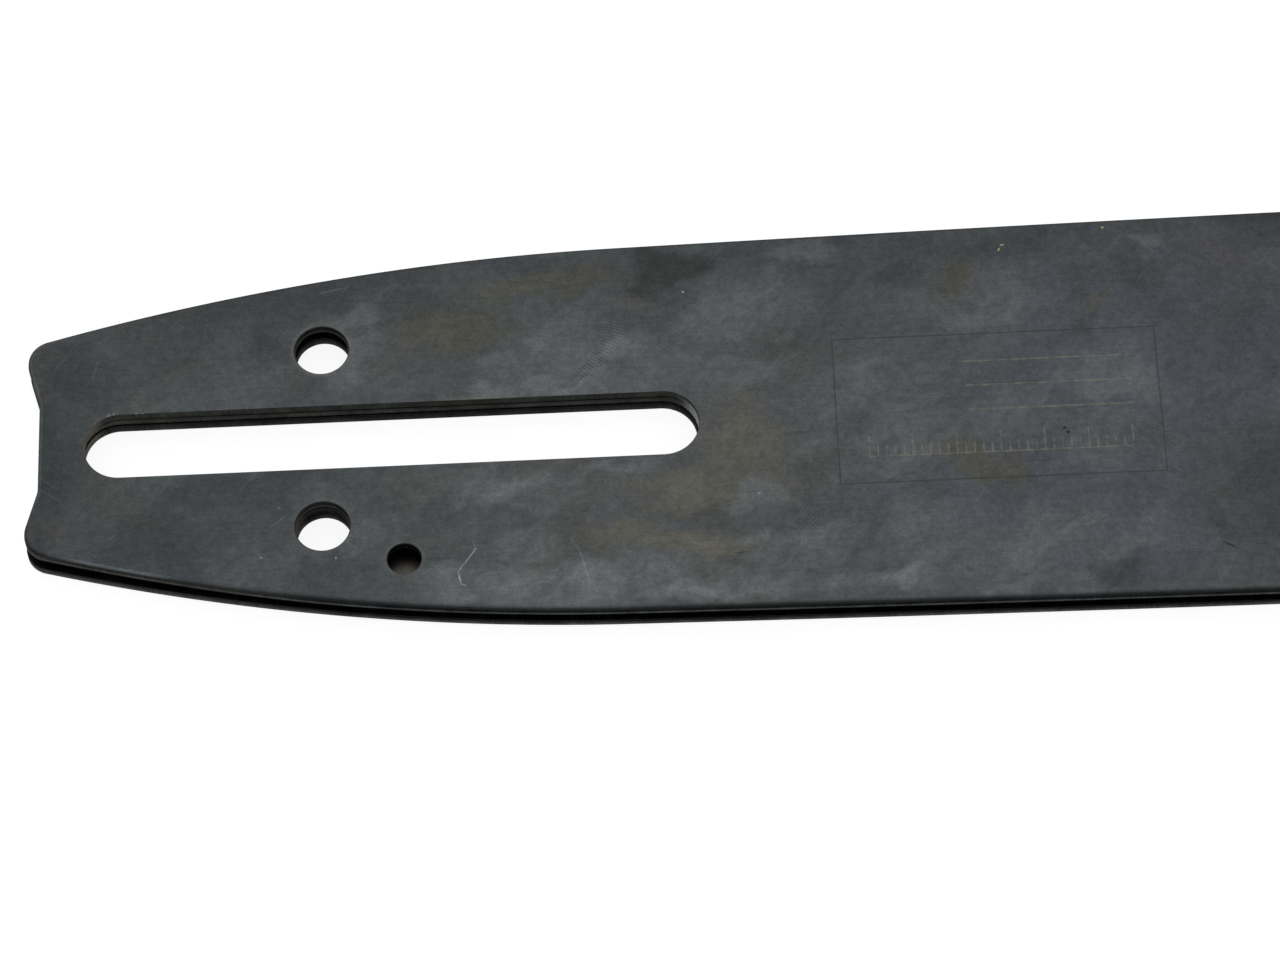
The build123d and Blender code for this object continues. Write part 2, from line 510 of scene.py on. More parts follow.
dark_patches = [
    ((-41, -1), (10, 15), 0, 0.9),
    ((-27, -13), (15, 6), -12, 0.5),
    ((-24, 13), (16, 6), 14, 0.35),
    ((100, 13), (13, 14), 0, 0.35),
    ((99, 25.2), (12, 4), 0, 0.9),
    ((102, 25), (9, 6), 0, 1.0),
    ((-36.5, -11), (4, 3), 0, 0.4),
    ((-38.9, 5), (3, 4), 0, 0.5),
    ((90, 12), (5, 4), 0, 0.4),
    ((80.8, 22.5), (5, 2.5), 0, 0.4),
    # the long band along the upper rail is painted shade
    ((62, 22.5), (48, 4.5), 1, 0.6),
    ((-12, 19), (26, 5), 12, 0.75),
    ((93, -15.5), (4, 4.5), 30, 0.6),
    ((17, -12), (3.5, 2.4), 10, 0.5),
    ((39, -12.5), (2.4, 1.2), 10, 0.7),
    ((-35, 9.5), (7, 6), 0, 0.8),
    ((-20, 17), (18, 3.4), 13, 0.7),
    ((4, 17), (8, 3), 8, 0.5),
    ((28.5, 18.3), (4, 3), 0, 0.6),
    ((-13, -5.6), (11, 1.8), 0, 0.6),
    ((80, 17.5), (4, 3), 0, 0.5),
    ((-14, 13.2), (4.5, 4.5), 0, 0.7),
    ((-21, -7), (9, 3.2), 5, 0.6),
    ((7.8, -9.6), (4, 2.2), 5, 0.8),
    ((16, 22.2), (8, 2.2), 5, 0.6),
    ((40, 19.2), (4.5, 2.4), 10, 0.4),
    ((87, 17), (7, 5.5), 0, 0.75),
    ((-40.5, -13), (4, 3), 0, 0.9),
    ((58.2, 18.4), (4.5, 2.8), 0, 0.7),
    ((81, -21.6), (4.5, 2.6), 0, 0.7),
    ((98.5, -12.5), (6, 12), 0, 0.7),
]
blue_patches = [
    ((76, -14), (30, 14), 0, 0.85),
    ((88, 8), (26, 20), 0, 0.75),
    ((45, 14), (6, 5), 0, 0.5),
    ((3, -13.5), (6, 4.5), 0, 0.6),
    ((18, 10), (9, 6), 0, 0.4),
    ((11, -11.5), (12, 5), 0, 0.6),
    ((-20, 10), (12, 6), 20, 0.3),
]
tan_stains = [
    ((27, -13.6), (6, 3), 10, 0.9),
    ((40, -2.5), (7, 7.5), 0, 0.8),
    ((35.5, -8.5), (13, 2.6), 0, 0.85),
    ((33, -15.8), (11, 2.6), -3, 1.0),
    ((28.5, 16.8), (3.5, 2.2), 0, 0.6),
    ((98, -15), (5, 7), 0, 0.5),
]
olive_stains = [
    ((7, 13.3), (9.5, 5), 8, 0.9),
    ((18, 19.3), (13, 2.8), 8, 0.8),
    ((66.5, 18), (5, 3), 45, 0.85),
    ((67, -7), (8, 2.8), -28, 0.75),
    ((81, 14.6), (2.6, 1.8), 20, 0.8),
    ((-38.9, -10.0), (1.8, 3.4), 10, 1.0),
    ((-40.5, 0), (3.6, 16), 0, 0.9),
    ((-39.5, -7), (3.4, 8), 0, 0.9),
    ((-39, 12), (4, 1.6), 20, 0.5),
    ((-14, 20), (30, 3), 11, 0.8),
]
mauve_patches = [
    ((100, 22), (11, 10), 0, 0.8),
    ((28, 22.6), (9, 2.2), 3, 0.4),
]
dark_stains = [
    ((33, 20.3), (6, 3.8), 20, 0.85),
    ((80, 11.5), (2.2, 2.6), 30, 0.4),
]
scratches = [
    ((9.57, -15.3), (7.52, -18.18), 0.11, 0.65),
    ((7.52, -18.18), (7.85, -19.68), 0.13, 0.9),
    ((7.85, -19.68), (8.3, -19.9), 0.1, 0.7),
    ((9.21, -14.22), (9.57, -15.3), 0.08, 0.2),
    ((4.26, -16.74), (6.36, -18.66), 0.08, 0.16),
    ((5.48, -21.06), (6.46, -18.98), 0.08, 0.14),
    ((22.2, -19.9), (21.3, -16.2), 0.14, 0.22),
    ((21.3, -16.2), (20.3, -14.4), 0.1, 0.14),
    ((-7.8, 19.2), (-4.4, 19.9), 0.14, 0.12),
    ((-14.2, -11.9), (-12.0, -10.2), 0.07, 0.25),
    ((-34.0, 9.0), (-33.4, 11.2), 0.25, 0.06),
    ((-31.8, -12.0), (-31.0, -11.6), 0.07, 0.14),
]
dark_scratches = [
    ((94.2, -18.9), (1.3, 0.14), -32, 0.7),
    ((39.5, -17.2), (1.2, 0.08), 2, 0.5),
    ((76.8, -2.9), (0.22, 0.2), 0, 1.0),
    ((77.2, -3.5), (0.26, 0.2), 0, 1.0),
]
bright_specks = [
    ((34.2, 17.3), (0.2, 0.18), 0, 0.9),
    ((41.8, -9.7), (0.18, 0.16), 0, 0.7),
    ((-14.6, -15.3), (0.2, 0.18), 0, 0.5),
    ((-6.2, -15.7), (0.16, 0.16), 0, 0.8),
    ((-12.6, -9.0), (0.18, 0.16), 0, 0.3),
    ((-32.1, 4.05), (0.24, 0.14), 30, 0.4),
    ((-31.5, 4.2), (0.16, 0.14), 0, 0.45),
    ((-28.9, 4.12), (0.2, 0.14), 0, 1.0),
    ((-28.2, 4.12), (0.22, 0.12), 0, 0.6),
]
golden_specks = [
    ((71.0, 21.2), (0.3, 0.13), 60, 0.7),
    ((71.4, 21.8), (0.32, 0.12), 10, 0.7),
    ((83.2, 23.6), (0.2, 0.18), 0, 0.7),
]

# Rims and edges with painted highlights and reflections, some also dull with wear, with the same values
# painted highlight on the rounded rims of the tail and of the lower flank near it
rim_highlights = [
    ((-41, 2), (13, 15), 0, 0.8),
    ((-31, -16), (9, 4), -10, 1.0),
    ((-22, -19), (14, 3.5), -10, 0.25),
]
# painted highlight round the rims of the openings, strongest at the upper adjuster hole
opening_highlights = [
    ((-33, 4), (4, 3), 0, 0.2),
    ((10, 4), (7, 4), 0, 0.5),
    ((adjuster_x, adjuster_y), (6, 6), 0, 0.7),
    ((adjuster_x, -adjuster_y), (6, 6), 0, 0.25),
    ((oil_x, -oil_y), (4, 4), 0, 0.3),
]
# edges lighter near the tail and its lower flank, as painted light from the left, and dull where the steel
# is worn, as at the slot's left end
lit_and_dull_edges = [
    ((-41, 0), (7, 20), 0, 0.7),
    ((-34.4, 1.2), (2.4, 4.0), 0, 1.0),
    ((-28, 4.5), (10, 1.5), 0, 0.1),
    ((-27, -17.5), (22, 6), -10, 0.22),
    ((-10.6, 11.5), (1.8, 2.8), 0, 0.2),
    ((-10.6, -11.5), (1.8, 3.2), 0, 0.35),
]
# painted reflection on the lower walls at the slot's right end
slot_end_reflection = [
    ((35.4, 0.4), (4.0, 3.6), 0, 0.9),
]

# Distances from an opening's rim between which the painted highlight round it fades in
rim_halo = (0.8, 0.1)

# Upright shares of a normal between which a rounded edge takes the painted highlight of a rim, and the
# strengths of that highlight and of the painted shade on rounded edges
rim_start = (0.6, 0.75)
rim_end = (0.998, 0.97)
rim_gain = 1.4
edge_falloff = 8.0
edge_floor = 0.3

# Heights over the core between which the painted reflection at the slot's end fades in
reflection_start = (0.9, 0.5)

# Lit spot under the oil hole: its offset to -Y and its sizes
inlet_offset = 1.15
inlet_size = (3.45, 3.0, 1.15)

# Painted shade in a strip along the sheared lower edge: the share of its height with its full tone, and that
# tone
burr_shade_core = 0.5
burr_shade_tone = 0.1

# Tones and changes of roughness of bright steel, where it is dulled and where it is polished
dulled_tone = 0.75
dulled_roughness = 0.1
polished_tone = 1.15
polished_roughness = -0.06

# Dark seam round a rivet's head, as distances to its rim
seam_band = (-0.35, -0.1)

# Boxes round the slot and, on both sides, round the holes
slot_surround = (37.5, 5.5)
hole_middle = (-3.0, 13.3)
hole_surround = (10.0, 6.0)

# Finger prints on the front face: centre and radius of the arc, half width, middle, half span and strength
finger_prints = [
    ((13.6, 16.8), 13.1, 1.5, -33, 27, 1.0),
    ((13.6, 16.8), 10.4, 1.3, -58, 15, 0.5),
    ((40.0, -22.0), 11.5, 1.8, 47, 17, 0.6),
    ((40.0, 2.0), 9.0, 2.0, 55, 22, 0.4),
    ((88.0, -4.0), 12.2, 1.8, 45, 16, 0.5),
]
ridge_spacing = 0.4
ridge_wander = 3.0
print_strength = 0.17

# Hairlines all over the face: the range of a noise that shows them, and their strength
hair_range = (0.70, 0.80)
hair_strength = 0.25

# Blank panel etched into the front face, with a plain scale
panel_centre = (69.5, 0.5)
panel_half = (18.5, 9.5)
panel_line = 0.09
panel_soft = 0.03
panel_strength = 0.6
rule_heights = (6.4, 3.2, 0.0)
rule_centre_x = 75.5
rule_half_length = 9.5
scale_centre = (69.5, -5.6)
scale_half_length = 15.0
scale_ticks = ((1.0, 0.7), (5.0, 1.4))

# Colours of the front face: its ground, the tints and stains on it, its marks and the painted highlight
# round its openings
ground_dark = (0.046, 0.051, 0.054, 1)
ground_light = (0.058, 0.064, 0.066, 1)
blue_tone = (0.053, 0.058, 0.067, 1)
olive_tone = (0.055, 0.055, 0.045, 1)
tan_tone = (0.077, 0.076, 0.065, 1)
mauve_tone = (0.057, 0.055, 0.064, 1)
dark_tone = (0.033, 0.037, 0.040, 1)
stain_tone = (0.026, 0.029, 0.026, 1)
haze_tone = (0.086, 0.094, 0.098, 1)
pale_haze_tone = (0.106, 0.114, 0.117, 1)
opening_highlight_tone = (0.096, 0.096, 0.086, 1)
hair_tone = (0.14, 0.145, 0.145, 1)
panel_tone = (0.030, 0.032, 0.024, 1)
etch_tone = (0.115, 0.108, 0.084, 1)
dark_scratch_tone = (0.006, 0.006, 0.006, 1)
scratch_tone = (0.24, 0.245, 0.24, 1)
speck_tone = (0.22, 0.22, 0.21, 1)
golden_tone = (0.42, 0.32, 0.16, 1)

# Colours of edges, inner faces and seams, with the tones of painted light on edges
lit_and_dull_edge_tone = (0.115, 0.112, 0.092, 1)
slot_end_reflection_tone = (0.42, 0.46, 0.43, 1)
edge_sheen = (0.45, 0.45, 0.45, 1)
inner_tone = (0.013, 0.011, 0.013)
inlet_tone = (0.075, 0.072, 0.058, 1)
seam_tone = (0.02, 0.02, 0.02, 1)


def add_marks(tree, vector, marks, depth=1.0):
    """Strongest of some soft spots on the front face, which reach to a depth in millimetres."""
    total = 0.0
    for (x, y), (long, wide), turn, strength in marks:
        size = (spot_reach * long, spot_reach * wide, spot_reach * depth)
        spot = add_spot(tree, vector, (x, y, front_face), size, turn, strength)
        total = add_math(tree, "MAXIMUM", total, spot)
    return total


def add_strokes(tree, vector, strokes):
    """Strongest of the strokes on the front face, each from one point to another with a half width."""
    total = 0.0
    for (x, y), (end_x, end_y), half_line, strength in strokes:
        run = Vector((end_x - x, end_y - y))
        local = add_turned(tree, vector, (x, y, front_face), (1, 1, 1), degrees(atan2(run.y, run.x)))
        along, across, height = add_node(tree, "SeparateXYZ", {0: local}).outputs
        within = add_node(tree, "Clamp", {0: along, 1: 0.0, 2: run.length}).outputs[0]
        beyond = add_math(tree, "SUBTRACT", along, within)
        offset = add_node(tree, "CombineXYZ", {0: beyond, 1: across, 2: height}).outputs[0]
        distance = add_node(tree, "VectorMath", {0: offset}, operation="LENGTH").outputs["Value"]
        stroke = add_range(tree, distance, half_line, stroke_core * half_line, 0.0, strength)
        total = add_math(tree, "MAXIMUM", total, stroke)
    return total


def add_distance(tree, value, middle):
    """How far a value is from a middle one."""
    return add_math(tree, "ABSOLUTE", add_math(tree, "SUBTRACT", value, middle))


def add_finger_prints(tree, vector):
    """Fine ridges that cross the arcs of the finger prints, from -1 to 1."""
    wander = add_math(tree, "MULTIPLY", add_noise(tree, vector, 0.8, 2), ridge_wander)
    total = 0.0
    for (x, y), radius, half_line, middle, half_span, strength in finger_prints:
        local = add_turned(tree, vector, (x, y, front_face), (1, 1, 1), middle)
        across, along = add_node(tree, "SeparateXYZ", {0: local}).outputs[:2]
        reach = add_node(tree, "VectorMath", {0: local}, operation="LENGTH").outputs["Value"]
        angle = add_math(tree, "ARCTAN2", along, across)
        phase = add_math(tree, "MULTIPLY_ADD", angle, 2 * pi * radius / ridge_spacing, wander)
        aside = add_distance(tree, reach, radius)
        near = add_range(tree, aside, half_line, stroke_core * half_line, 0.0, strength)
        turned = add_distance(tree, angle, 0.0)
        within = add_range(tree, turned, radians(half_span), radians(span_core * half_span))
        ridge = add_math(tree, "SINE", phase)
        mark = add_math(tree, "MULTIPLY", ridge, add_math(tree, "MULTIPLY", near, within))
        total = add_math(tree, "ADD", total, mark)
    return total


def add_block(tree, x, y, centre, half):
    """1 inside an upright rectangle, with a soft edge."""
    aside = add_math(tree, "SUBTRACT", add_distance(tree, x, centre[0]), half[0])
    above = add_math(tree, "SUBTRACT", add_distance(tree, y, centre[1]), half[1])
    return add_range(tree, add_math(tree, "MAXIMUM", aside, above), panel_soft, -panel_soft)


def add_panel_frame(tree, x, y):
    """Frame of the blank panel."""
    outer = add_block(tree, x, y, panel_centre, (panel_half[0] + panel_line, panel_half[1] + panel_line))
    inner = add_block(tree, x, y, panel_centre, (panel_half[0] - panel_line, panel_half[1] - panel_line))
    return add_math(tree, "SUBTRACT", outer, inner)


def add_panel_scale(tree, x, y):
    """Ruled lines of the panel and a plain scale of fine and coarse ticks."""
    centre_x, base = scale_centre
    total = add_block(tree, x, y, scale_centre, (scale_half_length, panel_line))
    for height in rule_heights:
        rule = add_block(tree, x, y, (rule_centre_x, height), (rule_half_length, panel_line))
        total = add_math(tree, "MAXIMUM", total, rule)
    for pitch, half_height in scale_ticks:
        span = (scale_half_length + panel_line, half_height)
        row = add_block(tree, x, y, (centre_x, base + half_height), span)
        offset = add_math(tree, "PINGPONG", add_math(tree, "SUBTRACT", x, centre_x), pitch / 2)
        tick = add_range(tree, offset, panel_line + panel_soft, panel_line - panel_soft)
        total = add_math(tree, "MAXIMUM", total, add_math(tree, "MULTIPLY", row, tick))
    return total


def add_rim_distance(tree, x, y, openings):
    """Distance to the rim of the nearest opening, less than 0 inside it."""
    total = far_off
    for middle_x, middle_y, radius, half_run in openings:
        beyond = add_math(tree, "SUBTRACT", add_distance(tree, x, middle_x), half_run)
        aside = add_math(tree, "POWER", add_math(tree, "MAXIMUM", beyond, 0.0), 2.0)
        above = add_math(tree, "POWER", add_distance(tree, y, middle_y), 2.0)
        reach = add_math(tree, "SQRT", add_math(tree, "ADD", aside, above))
        total = add_math(tree, "MINIMUM", total, add_math(tree, "SUBTRACT", reach, radius))
    return total


def shaded(tree, colour, factor):
    """Colour made lighter or darker by a factor."""
    return add_node(tree, "VectorMath", {0: colour, "Scale": factor}, operation="SCALE").outputs[0]


def varied(tree, colour, noise, amount):
    """Colour made up to an amount lighter or darker by a noise."""
    return shaded(tree, colour, add_range(tree, noise, *tone_range, 1 - amount, 1 + amount))


def warped(tree, place):
    """Coordinates pushed about by a few millimetres, for clouds and stains with ragged outlines."""
    inputs = {"Vector": place, "Scale": warp_scale, "Detail": 4.0}
    warp = add_node(tree, "TexNoise", inputs).outputs["Color"]
    centred = add_node(tree, "VectorMath", {0: warp, 1: (0.5, 0.5, 0.5)}, operation="SUBTRACT").outputs[0]
    shift = add_node(tree, "VectorMath", {0: centred, 1: warp_reach}, operation="MULTIPLY").outputs[0]
    return add_node(tree, "VectorMath", {0: place, 1: shift}, operation="ADD").outputs[0]


def stained(tree, colour, place, drawn):
    """Colour with the tints and stains of the blued face."""
    colour = add_mix(tree, add_marks(tree, place, blue_patches), colour, blue_tone)
    olive_tint = add_range(tree, add_noise(tree, drawn, 0.07, 2, 0.6), 0.5, 0.7, 0.0, 0.5)
    olive = add_math(tree, "MAXIMUM", add_marks(tree, drawn, olive_stains), olive_tint)
    colour = add_mix(tree, olive, colour, olive_tone)
    colour = add_mix(tree, add_marks(tree, drawn, tan_stains), colour, tan_tone)
    mauve_tint = add_range(tree, add_noise(tree, place, 0.12, 2, 0.5), 0.54, 0.72, 0.0, 0.4)
    mauve = add_math(tree, "MAXIMUM", add_marks(tree, drawn, mauve_patches), mauve_tint)
    colour = add_mix(tree, mauve, colour, mauve_tone)
    colour = add_mix(tree, add_marks(tree, drawn, dark_patches), colour, dark_tone)
    return add_mix(tree, add_marks(tree, drawn, dark_stains), colour, stain_tone)


def hazed(tree, colour, drawn, wisps):
    """Colour with the light and pale haze of the blued face."""
    light = add_marks(tree, drawn, light_patches)
    haze = add_math(tree, "MULTIPLY", light, add_range(tree, wisps, 0.3, 0.6, 0.55, 1.0))
    colour = add_mix(tree, haze, colour, haze_tone)
    return add_mix(tree, add_marks(tree, drawn, pale_patches), colour, pale_haze_tone)


def opening_highlighted(tree, colour, place, x, y):
    """Colour with a painted highlight round the rims of the face's openings."""
    halo = add_range(tree, add_rim_distance(tree, x, y, plate_openings), *rim_halo)
    halo = add_math(tree, "MULTIPLY", halo, add_marks(tree, place, opening_highlights))
    return add_mix(tree, halo, colour, opening_highlight_tone)


def etched(tree, colour, x, y, on_front, mottle):
    """Colour with the blank panel and its scale."""
    frame_line = add_math(tree, "MULTIPLY", add_panel_frame(tree, x, y), on_front)
    colour = add_mix(tree, add_math(tree, "MULTIPLY", frame_line, panel_strength), colour, panel_tone)
    scale_line = add_math(tree, "MULTIPLY", add_panel_scale(tree, x, y), on_front)
    etch = add_math(tree, "MULTIPLY", scale_line, add_range(tree, mottle, 0.35, 0.6, 0.25, 0.8))
    return add_mix(tree, etch, colour, etch_tone)


def scratched(tree, colour, place, mottle):
    """Colour with the scratches and specks of the front face."""
    colour = add_mix(tree, add_marks(tree, place, dark_scratches), colour, dark_scratch_tone)
    strokes = add_strokes(tree, place, scratches)
    scratch = add_math(tree, "MULTIPLY", strokes, add_range(tree, mottle, 0.35, 0.6, 0.35, 1.0))
    colour = add_mix(tree, scratch, colour, scratch_tone)
    colour = add_mix(tree, add_marks(tree, place, bright_specks), colour, speck_tone)
    return add_mix(tree, add_marks(tree, place, golden_specks), colour, golden_tone)


def edge_shade_and_highlight(tree, colour, place):
    """Colour with painted shade on the rounded edges, darker the more they turn from the flat, and a painted
    highlight on the rims near the tail.
    """
    normal = add_node(tree, "TexCoord", {}).outputs["Normal"]
    normal_z = add_node(tree, "SeparateXYZ", {0: normal}).outputs[2]
    level = add_math(tree, "ABSOLUTE", normal_z)
    flat = add_math(tree, "POWER", level, edge_falloff)
    rim = add_math(tree, "MULTIPLY", add_range(tree, level, *rim_start), add_range(tree, level, *rim_end))
    painted_light = add_math(tree, "MULTIPLY", add_marks(tree, place, rim_highlights, far_off), rim)
    tone = add_math(tree, "MULTIPLY_ADD", painted_light, rim_gain, add_math(tree, "MAXIMUM", flat, edge_floor))
    return shaded(tree, colour, tone)


def blued_face():
    """Blued and oiled sheet steel: grained, clouded, stained and handled."""
    material, tree, shader = new_material("blued_face")
    place = millimetres(tree)
    x, y, z = add_node(tree, "SeparateXYZ", {0: place}).outputs
    on_front = add_range(tree, z, *(front_face - depth for depth in front_skin))
    drawn = warped(tree, place)
    clouds = add_noise(tree, drawn, 0.1, 3, 0.55)
    wisps = add_noise(tree, stretched(tree, drawn, (2.6, 1.0, 1.0), 32), 0.4, 4, 0.6)
    mottle = add_noise(tree, place, 1.1, 3, 0.7)
    grain = add_noise(tree, place, 4.2, 2, 0.9)
    brushed = add_noise(tree, stretched(tree, place, (6.0, 0.3, 1.0)), 1.0, 2, 0.6)
    hairs = add_noise(tree, stretched(tree, place, (9.0, 0.16, 1.0), 52), 1.0, 1, 0.5)
    cross_hairs = add_noise(tree, stretched(tree, place, (8.0, 0.16, 1.0), -38), 1.0, 1, 0.5)

    colour = add_mix(tree, add_range(tree, clouds, 0.32, 0.68), ground_dark, ground_light)
    colour = stained(tree, colour, place, drawn)
    colour = hazed(tree, colour, drawn, wisps)
    colour = opening_highlighted(tree, colour, place, x, y)
    for noise, amount in ((wisps, 0.09), (mottle, 0.07), (grain, 0.14), (brushed, 0.05)):
        colour = varied(tree, colour, noise, amount)
    prints = add_math(tree, "MULTIPLY", add_finger_prints(tree, place), on_front)
    colour = shaded(tree, colour, add_math(tree, "MULTIPLY_ADD", prints, print_strength, 1.0))
    fine = [add_range(tree, noise, *hair_range) for noise in (hairs, cross_hairs)]
    hair = add_math(tree, "MULTIPLY", add_math(tree, "MAXIMUM", *fine), hair_strength)
    colour = add_mix(tree, hair, colour, hair_tone)
    colour = etched(tree, colour, x, y, on_front, mottle)
    colour = scratched(tree, colour, place, mottle)
    colour = edge_shade_and_highlight(tree, colour, place)

    tree.links.new(colour, shader.inputs["Base Color"])
    tree.links.new(add_range(tree, mottle, 0.3, 0.7, 0.48, 0.38), shader.inputs["Roughness"])
    shader.inputs["Metallic"].default_value = 1.0
    add_bump(tree, shader, grain, 0.006)
    return material


def edge_steel(name, low, high, rails, slot, holes, burr_shade=0.0, pale=0.0):
    """Dark oxide on the sheared edges of a sheet, with painted light and shade that change its tone between
    two heights.

    The edges of the rails, the slot and the holes each have a top and a lower colour, painted light and
    shade: mostly lighter towards the lower edge, as a painted reflection of the floor and, on the front
    plate, a painted highlight at the lower arris. burr_shade is the height of a strip of painted shade at
    the lower edge, and pale the strength of a painted reflection at the end of the slot.
    """
    material, tree, shader = new_material(name)
    place = millimetres(tree)
    x, y, z = add_node(tree, "SeparateXYZ", {0: place}).outputs
    lines = add_noise(tree, stretched(tree, place, (0.35, 0.35, 6.0)), 2.2, 3, 0.6)
    blotches = add_noise(tree, place, 0.4, 4, 0.6)
    # the top and lower colours, and the colours of the openings, are painted light and shade
    descent = add_range(tree, z, high, low + burr_shade)
    in_slot = add_block(tree, x, y, (0, 0), slot_surround)
    in_holes = add_block(tree, x, add_distance(tree, y, 0.0), hole_middle, hole_surround)
    colour = add_mix(tree, descent, *rails)
    colour = add_mix(tree, in_slot, colour, add_mix(tree, descent, *slot))
    colour = add_mix(tree, in_holes, colour, add_mix(tree, descent, *holes))
    # painted shade in a strip along the lower edge
    if burr_shade:
        strip = add_range(tree, z, low + burr_shade_core * burr_shade, low + burr_shade, burr_shade_tone, 1.0)
        colour = shaded(tree, colour, strip)
    colour = varied(tree, varied(tree, colour, lines, 0.3), blotches, 0.3)
    ragged = add_range(tree, lines, 0.3, 0.7, 0.5, 1.0)
    # edges made lighter by the marks above: partly painted light, partly dull wear
    dull_and_lit = add_math(tree, "MULTIPLY", add_marks(tree, place, lit_and_dull_edges, far_off), ragged)
    colour = add_mix(tree, dull_and_lit, colour, lit_and_dull_edge_tone)
    # painted reflection at the slot's right end, on the core and the lower part of the front wall
    if pale:
        deep = add_range(tree, z, *(core_high.z + height for height in reflection_start), 0.0, pale)
        painted_light = add_math(tree, "MULTIPLY", add_marks(tree, place, slot_end_reflection, far_off), ragged)
        colour = add_mix(tree, add_math(tree, "MULTIPLY", painted_light, deep), colour, slot_end_reflection_tone)
    tree.links.new(colour, shader.inputs["Base Color"])
    tree.links.new(add_range(tree, lines, 0.2, 0.8, 0.45, 0.6), shader.inputs["Roughness"])
    shader.inputs["Metallic"].default_value = 1.0
    shader.inputs["Specular Tint"].default_value = edge_sheen
    add_bump(tree, shader, lines, 0.02)
    return material


def inner_steel():
    """Dark, oiled inner faces of the side plates, paler where the oil inlet lets light in."""
    material, tree, shader = new_material("inner_steel")
    place = millimetres(tree)
    blotches = add_noise(tree, place, 0.6, 4, 0.6)
    colour = varied(tree, inner_tone, blotches, 0.3)
    inlet_place = (oil_x, -oil_y - inlet_offset, rear_face + plate_thickness)
    colour = add_mix(tree, add_spot(tree, place, inlet_place, inlet_size), colour, inlet_tone)
    tree.links.new(colour, shader.inputs["Base Color"])
    tree.links.new(add_range(tree, blotches, 0.3, 0.7, 0.35, 0.5), shader.inputs["Roughness"])
    shader.inputs["Metallic"].default_value = 1.0
    add_bump(tree, shader, blotches, 0.02)
    return material


def bright_steel(name, colour, roughness, drag, heads=()):
    """Ground steel with fine lines drawn out by drag, a little dulling, and a dark seam round any heads."""
    material, tree, shader = new_material(name)
    place = millimetres(tree)
    lines = add_noise(tree, stretched(tree, place, drag), 3.0, 3, 0.65)
    dulling = add_noise(tree, place, 0.6, 4, 0.6)
    low = tuple(value * dulled_tone for value in colour) + (1,)
    high = tuple(value * polished_tone for value in colour) + (1,)
    halves = [add_math(tree, "MULTIPLY", noise, 0.5) for noise in (lines, dulling)]
    tone = add_math(tree, "ADD", *halves)
    shown = add_mix(tree, add_range(tree, tone, 0.3, 0.7), low, high)
    if heads:
        x, y = add_node(tree, "SeparateXYZ", {0: place}).outputs[:2]
        seam = add_range(tree, add_rim_distance(tree, x, y, heads), *seam_band)
        shown = add_mix(tree, seam, shown, seam_tone)
    limits = (roughness + dulled_roughness, roughness + polished_roughness)
    dullness = add_range(tree, tone, 0.3, 0.7, *limits)
    tree.links.new(shown, shader.inputs["Base Color"])
    tree.links.new(dullness, shader.inputs["Roughness"])
    shader.inputs["Metallic"].default_value = 1.0
    add_bump(tree, shader, lines, 0.01)
    return material


# Height over which the front plate's edges go from their top colour to their lower one, painted light and
# shade
front_edge_shade = 0.75

face_finish = blued_face()
inner_finish = inner_steel()
front_edge_finish = edge_steel(
    "front_edge",
    plate_low.z,
    plate_low.z + front_edge_shade,
    rails=((0.0095, 0.0112, 0.0112, 1), (0.068, 0.071, 0.072, 1)),
    slot=((0.033, 0.035, 0.031, 1), (0.031, 0.033, 0.029, 1)),
    holes=((0.017, 0.0175, 0.0165, 1), (0.050, 0.050, 0.047, 1)),
    burr_shade=0.32,
    pale=1.0,
)
rear_edge_finish = edge_steel(
    "rear_edge",
    rear_face,
    core_low.z,
    rails=((0.008, 0.008, 0.008, 1), (0.110, 0.108, 0.114, 1)),
    slot=((0.012, 0.012, 0.0125, 1), (0.036, 0.036, 0.037, 1)),
    holes=((0.010, 0.010, 0.010, 1), (0.050, 0.050, 0.051, 1)),
)
core_finish = edge_steel(
    "core_steel",
    core_low.z,
    core_high.z,
    rails=((0.036, 0.038, 0.036, 1), (0.085, 0.088, 0.085, 1)),
    slot=((0.020, 0.021, 0.0195, 1), (0.054, 0.056, 0.053, 1)),
    holes=((0.022, 0.022, 0.021, 1), (0.010, 0.010, 0.010, 1)),
    pale=1.0,
)

front_finishes = (face_finish, front_edge_finish, inner_finish)
front_plate = sheet_piece("front_plate", plate_rims(-1, False), 1, front_finishes)
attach(front_plate, "bar")
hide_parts("front_side_plate")

rear_finishes = (face_finish, rear_edge_finish, inner_finish)
rear_plate = sheet_piece("rear_plate", plate_rims(1, True), -1, rear_finishes)
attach(rear_plate, "bar")
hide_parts("rear_side_plate")


def dress(node_names, material):
    """Gives CAD nodes a material in place of their plain one."""
    for name in node_names:
        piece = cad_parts[name]
        for slot in piece.material_slots:
            slot.material = material


rollers = [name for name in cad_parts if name.startswith("roller_")]
rivet_heads = [(x, y, rivet_sink_radius, 0) for x, y in rivet_places()]
sprocket_finish = bright_steel(
    "hardened_steel",
    colour=(0.21, 0.21, 0.205),
    roughness=0.35,
    drag=(6.0, 0.4, 1.0),
)
bearing_finish = bright_steel(
    "bearing_steel",
    colour=(0.50, 0.50, 0.49),
    roughness=0.22,
    drag=(1.0, 1.0, 0.2),
)
rivet_finish = bright_steel(
    "rivet_steel",
    colour=(0.12, 0.124, 0.128),
    roughness=0.38,
    drag=(1.0, 1.0, 1.0),
    heads=rivet_heads,
)
dress(["core_plate"], core_finish)
dress(["nose_sprocket"], sprocket_finish)
dress(["inner_race"] + rollers, bearing_finish)
dress(["nose_rivets"], rivet_finish)


